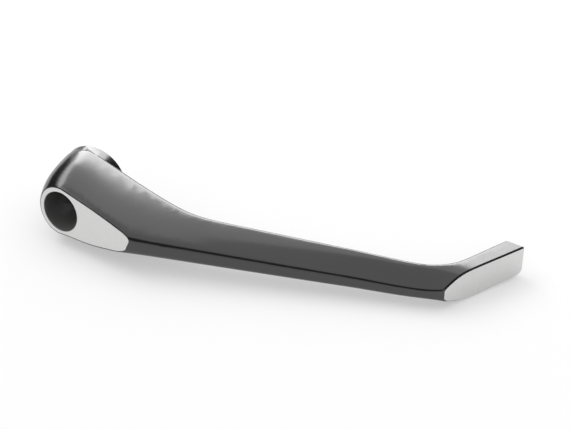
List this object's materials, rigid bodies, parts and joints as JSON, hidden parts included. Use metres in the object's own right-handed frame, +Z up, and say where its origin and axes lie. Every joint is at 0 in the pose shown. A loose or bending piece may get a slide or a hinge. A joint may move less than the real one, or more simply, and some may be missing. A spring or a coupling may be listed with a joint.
{
  "type": "brake lever guard",
  "caption": "Milled arm with a bored boss for the end of a handlebar, a slender waist and a bent tip that shields the brake lever, black with bare-metal cut faces.",
  "frame": {"origin": "on the bore's axis, in the face that meets the bar end", "axes": "+Y along the bore towards the handlebar, +X along the arm, +Z up"},
  "size_m": [0.2015, 0.0688, 0.0321],
  "materials": {
    "black_anodised": "satin black, with two bare cut faces"
  },
  "bodies": {
    "root": {"guard_arm": "black_anodised"}
  },
  "joints": []
}
